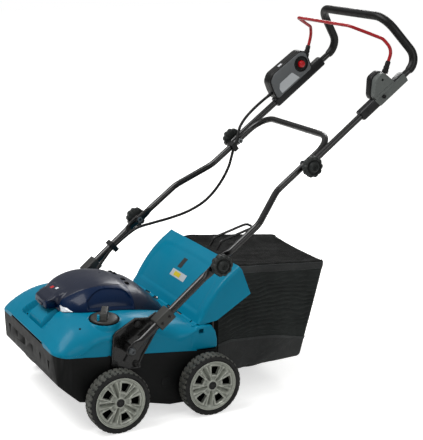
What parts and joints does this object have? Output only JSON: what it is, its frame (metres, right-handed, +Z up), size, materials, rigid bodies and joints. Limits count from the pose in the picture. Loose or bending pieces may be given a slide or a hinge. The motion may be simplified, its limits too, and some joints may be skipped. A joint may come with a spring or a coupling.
{
  "type": "lawn dethatcher",
  "caption": "Walk-behind cordless lawn dethatcher: moulded deck with hinged battery lid and rear flap, tine reel, four wheels, rear fabric grass box and a folding tubular handle with bail.",
  "frame": {"origin": "on the ground, under the middle of the machine's length and width", "axes": "+X to the operator's left, +Y to the operator at the handle, so the nose points along -Y, +Z up"},
  "size_m": [0.591, 1.083, 1.0258],
  "materials": {
    "cover_teal": "satin",
    "lid_navy": "gloss",
    "panel_grey": "gloss",
    "housing_black": "satin",
    "fitting_black": "satin",
    "moulded_grey": "satin",
    "holder_grey": "satin",
    "rim_silver": "satin",
    "tyre_rubber": "matte",
    "soft_rubber": "matte",
    "tube_black": "gloss",
    "wire_black": "satin",
    "grip_foam": "satin",
    "zinc_steel": "satin",
    "motor_alloy": "matte",
    "signal_red": "gloss",
    "bail_red": "gloss",
    "bag_fabric": "matte"
  },
  "bodies": {
    "chassis": {"lower_housing": "housing_black", "upper_cover": "cover_teal", "rear_hood": "panel_grey", "battery_tray": "housing_black", "battery_pack_left": "moulded_grey", "battery_pack_right": "moulded_grey", "motor_housing": "motor_alloy", "drive_belt": "soft_rubber", "reel_bearing_left": "zinc_steel", "reel_bearing_right": "zinc_steel", "rear_axle": "zinc_steel", "flap_hinge_rod": "zinc_steel", "handle_bracket_left": "fitting_black", "handle_bracket_right": "fitting_black", "lower_tube_left": "tube_black", "lower_tube_right": "tube_black", "tube_socket_left": "moulded_grey", "tube_socket_right": "moulded_grey", "pivot_bolt_left": "zinc_steel", "pivot_bolt_right": "zinc_steel", "lower_cable_clip": "fitting_black", "cable_gland": "soft_rubber", "deck_cable": "soft_rubber", "loop_cable": "soft_rubber"},
    "motor_rotor": {"motor_pulley": "zinc_steel"},
    "reel": {"reel_shaft": "zinc_steel", "tine_row_1": "zinc_steel", "tine_row_2": "zinc_steel", "tine_row_3": "zinc_steel", "tine_row_4": "zinc_steel", "reel_pulley": "moulded_grey"},
    "axle": {"front_axle": "zinc_steel"},
    "front_left_wheel": {"front_left_tyre": "tyre_rubber", "front_left_rim": "rim_silver"},
    "front_right_wheel": {"front_right_tyre": "tyre_rubber", "front_right_rim": "rim_silver"},
    "rear_left_wheel": {"rear_left_tyre": "tyre_rubber", "rear_left_rim": "rim_silver"},
    "rear_right_wheel": {"rear_right_tyre": "tyre_rubber", "rear_right_rim": "rim_silver"},
    "dial": {"depth_dial": "moulded_grey"},
    "lid": {"battery_lid": "lid_navy", "lid_top_panel": "panel_grey"},
    "flap": {"discharge_flap": "cover_teal"},
    "grass_box": {"box_fabric": "bag_fabric", "box_frame": "wire_black", "box_handle": "wire_black"},
    "middle": {"middle_handle": "tube_black", "upper_cable_clip": "fitting_black", "upper_cable": "soft_rubber"},
    "upper": {"upper_handle": "tube_black", "handle_grip": "grip_foam", "switch_box": "moulded_grey", "lever_holder": "holder_grey"},
    "bail": {"bail_lever": "bail_red"},
    "button": {"lock_button": "signal_red"},
    "lower_left_knob": {"lower_knob_left": "fitting_black"},
    "lower_right_knob": {"lower_knob_right": "fitting_black"},
    "upper_left_knob": {"upper_knob_left": "fitting_black"},
    "upper_right_knob": {"upper_knob_right": "fitting_black"}
  },
  "joints": [
    {"name": "reel_spin", "type": "hinge", "parent": "chassis", "child": "reel", "pos_m": [0, -0.23945, 0.096], "axis": [1, 0, 0], "continuous": true},
    {"name": "motor_spin", "type": "hinge", "parent": "chassis", "child": "motor_rotor", "pos_m": [0, -0.42445, 0.15], "axis": [1, 0, 0], "continuous": true},
    {"name": "axle_swing", "type": "hinge", "parent": "chassis", "child": "axle", "pos_m": [0, -0.35145, 0.085], "axis": [1, 0, 0], "range_deg": [-6, 9]},
    {"name": "dial_turn", "type": "hinge", "parent": "chassis", "child": "dial", "pos_m": [0.178, -0.38945, 0.28], "axis": [0.1305, 0, 0.9914], "range_deg": [-60, 90]},
    {"name": "front_left_spin", "type": "hinge", "parent": "axle", "child": "front_left_wheel", "pos_m": [0.2615, -0.38945, 0.083], "axis": [1, 0, 0], "continuous": true},
    {"name": "front_right_spin", "type": "hinge", "parent": "axle", "child": "front_right_wheel", "pos_m": [-0.2615, -0.38945, 0.083], "axis": [1, 0, 0], "continuous": true},
    {"name": "rear_left_spin", "type": "hinge", "parent": "chassis", "child": "rear_left_wheel", "pos_m": [0.2615, -0.12705, 0.083], "axis": [1, 0, 0], "continuous": true},
    {"name": "rear_right_spin", "type": "hinge", "parent": "chassis", "child": "rear_right_wheel", "pos_m": [-0.2615, -0.12705, 0.083], "axis": [1, 0, 0], "continuous": true},
    {"name": "lid_open", "type": "hinge", "parent": "chassis", "child": "lid", "pos_m": [0, -0.28345, 0.334], "axis": [-1, 0, 0], "range_deg": [0, 70]},
    {"name": "flap_lift", "type": "hinge", "parent": "chassis", "child": "flap", "pos_m": [0, -0.14045, 0.231], "axis": [1, 0, 0], "range_deg": [0, 45]},
    {"name": "box_pull", "type": "slide", "parent": "chassis", "child": "grass_box", "axis": [0, 1, 0], "range_m": [0, 0.3]},
    {"name": "middle_fold", "type": "hinge", "parent": "chassis", "child": "middle", "pos_m": [0, -0.10145, 0.411], "axis": [1, 0, 0], "range_deg": [0, 140], "deforming": ["loop_cable"]},
    {"name": "upper_fold", "type": "hinge", "parent": "middle", "child": "upper", "pos_m": [0, 0.19555, 0.633], "axis": [-1, 0, 0], "range_deg": [0, 110], "deforming": ["upper_cable"]},
    {"name": "bail_pull", "type": "hinge", "parent": "upper", "child": "bail", "pos_m": [0, 0.42855, 0.854], "axis": [-1, 0, 0], "range_deg": [0, 26], "stiffness_Nm_per_rad": 1, "springref_deg": -20.05},
    {"name": "button_press", "type": "slide", "parent": "upper", "child": "button", "axis": [-1, 0, 0], "range_m": [0, 0.005], "stiffness_N_per_m": 300, "springref_m": -0.003},
    {"name": "lower_left_knob_turn", "type": "hinge", "parent": "chassis", "child": "lower_left_knob", "pos_m": [0.28, -0.10145, 0.411], "axis": [1, 0, 0], "range_deg": [0, 360]},
    {"name": "upper_left_knob_turn", "type": "hinge", "parent": "middle", "child": "upper_left_knob", "pos_m": [0.232, 0.19555, 0.633], "axis": [1, 0, 0], "range_deg": [0, 360]},
    {"name": "lower_right_knob_turn", "type": "hinge", "parent": "chassis", "child": "lower_right_knob", "pos_m": [-0.28, -0.10145, 0.411], "axis": [-1, 0, 0], "range_deg": [0, 360]},
    {"name": "upper_right_knob_turn", "type": "hinge", "parent": "middle", "child": "upper_right_knob", "pos_m": [-0.232, 0.19555, 0.633], "axis": [-1, 0, 0], "range_deg": [0, 360]}
  ],
  "couplings": [
    {"joint": "motor_spin", "follows": "reel_spin", "ratio": 3},
    {"joint": "dial_turn", "follows": "axle_swing", "ratio": 10}
  ]
}
